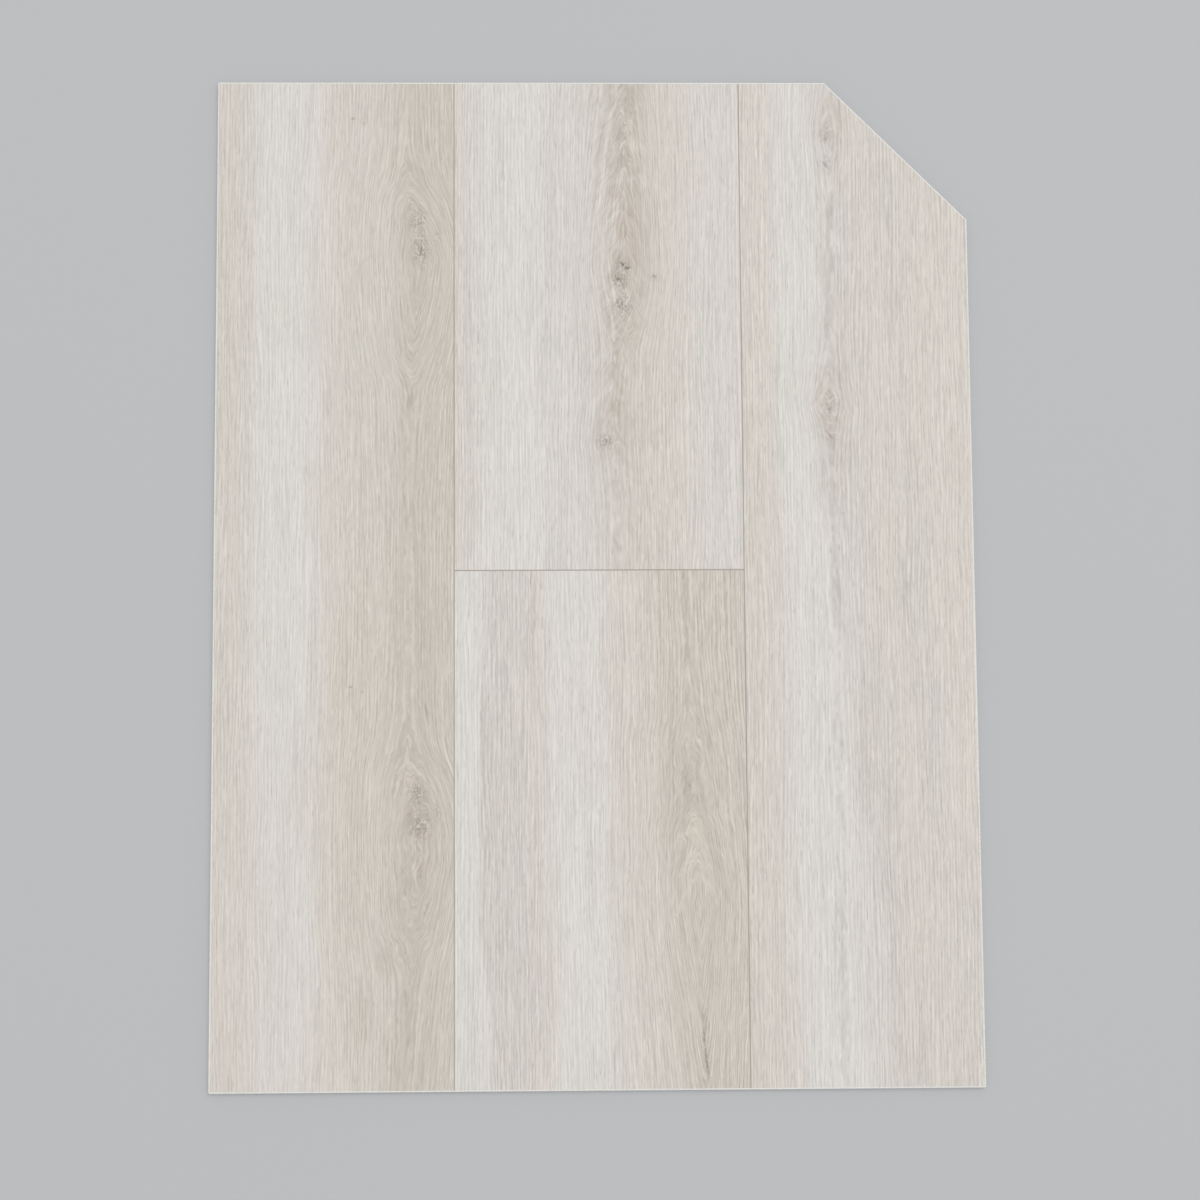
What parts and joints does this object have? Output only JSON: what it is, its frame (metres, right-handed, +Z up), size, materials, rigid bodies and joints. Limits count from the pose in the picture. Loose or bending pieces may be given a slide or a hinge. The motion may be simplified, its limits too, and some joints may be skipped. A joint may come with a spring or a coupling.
{
  "type": "vinyl plank flooring sample panel",
  "caption": "Flat rectangular sample panel of click-lock vinyl floor planks with a pale oak print, sawn to size, with a corner cut off at 45 degrees.",
  "frame": {"origin": "middle of the panel's full rectangular outline, on the underside", "axes": "+X across the planks, to the right in the picture; +Y along the planks, away from the viewer and towards the end with the cut corner; +Z up out of the printed face"},
  "size_m": [0.6, 0.8, 0.006],
  "materials": {
    "printed_vinyl": "matte printed vinyl, pale whitewashed oak with fine embossed grain"
  },
  "bodies": {
    "root": {"plank_left": "printed_vinyl", "plank_middle_upper": "printed_vinyl", "plank_middle_lower": "printed_vinyl", "plank_right": "printed_vinyl"}
  },
  "joints": []
}
